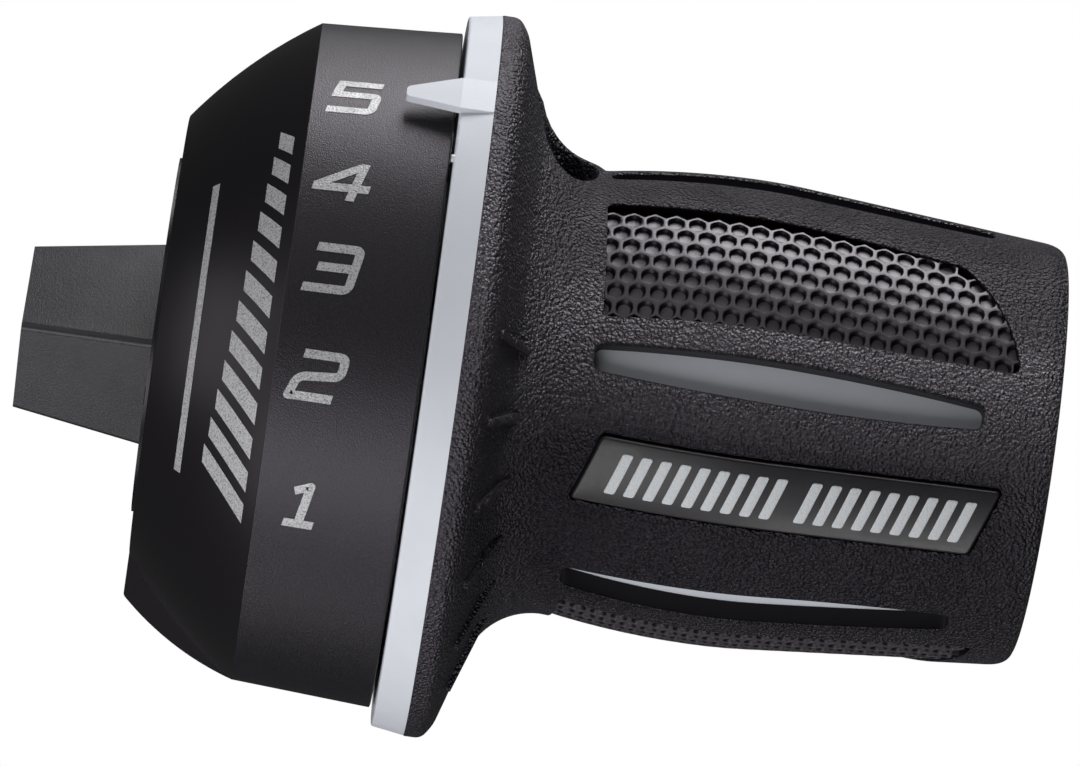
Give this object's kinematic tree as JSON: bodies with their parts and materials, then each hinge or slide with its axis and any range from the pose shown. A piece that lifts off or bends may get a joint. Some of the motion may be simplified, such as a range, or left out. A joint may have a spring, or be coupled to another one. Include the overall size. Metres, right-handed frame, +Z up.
{
  "type": "twist grip shifter",
  "caption": "Right-hand bicycle twist shifter: black conical housing with a numbered drum, pale indicator ring with a pointer, and a ribbed rubber grip that turns on the handlebar.",
  "frame": {"origin": "on the handlebar's centre line, where the indicator ring meets the drum", "axes": "+X along the handlebar, outboard; -Y towards the numbers; +Z up as pictured"},
  "size_m": [0.0808, 0.057, 0.057],
  "materials": {
    "housing_plastic": "satin",
    "indicator_plastic": "satin",
    "grip_rubber": "matte",
    "badge_plastic": "satin",
    "spool_plastic": "satin",
    "washer_plastic": "satin",
    "steel": "satin",
    "spring_steel": "satin"
  },
  "bodies": {
    "housing": {"housing": "housing_plastic", "cable_nozzle": "housing_plastic", "clamp_bolt": "steel", "clamp_nut": "steel", "detent_spring": "spring_steel", "thrust_washer": "washer_plastic", "end_washer": "washer_plastic", "retaining_ring": "spring_steel"},
    "grip": {"grip_core": "indicator_plastic", "cable_spool": "spool_plastic", "grip_cover": "grip_rubber", "badge_plate": "badge_plastic"}
  },
  "joints": [
    {"name": "grip_twist", "type": "hinge", "parent": "housing", "child": "grip", "pos_m": [0, 0, 0], "axis": [1, 0, 0], "range_deg": [0, 75.5], "deforming": ["detent_spring"]}
  ]
}
